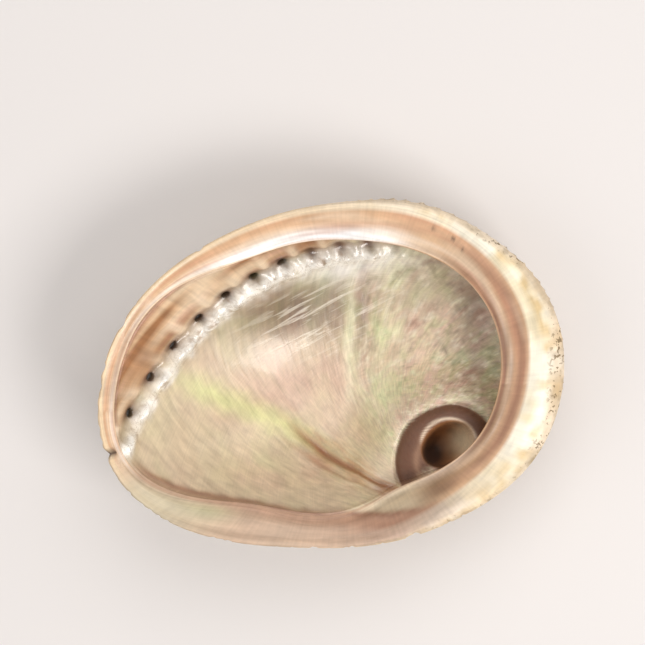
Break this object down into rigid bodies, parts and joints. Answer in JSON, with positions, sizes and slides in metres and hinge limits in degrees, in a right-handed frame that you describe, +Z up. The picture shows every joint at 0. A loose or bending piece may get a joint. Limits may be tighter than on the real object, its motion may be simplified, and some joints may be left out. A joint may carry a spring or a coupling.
{
  "type": "abalone shell",
  "caption": "Empty ear-shaped abalone shell resting on its back, with a pearly bowl, an overhanging shelf, a spire hollow and a row of pores",
  "frame": {"origin": "Centre of the bounding box in X and Y, on the plane the shell rests on", "axes": "X runs along the shell's length with the spire towards +X and the growing edge towards -X, Y across it with the pore row on the +Y side, Z up out of the bowl"},
  "size_m": [0.1286, 0.0966, 0.0403],
  "materials": {
    "shell": "pearly inside, chalky and matt outside"
  },
  "bodies": {
    "root": {"abalone_shell": "shell"}
  },
  "joints": []
}
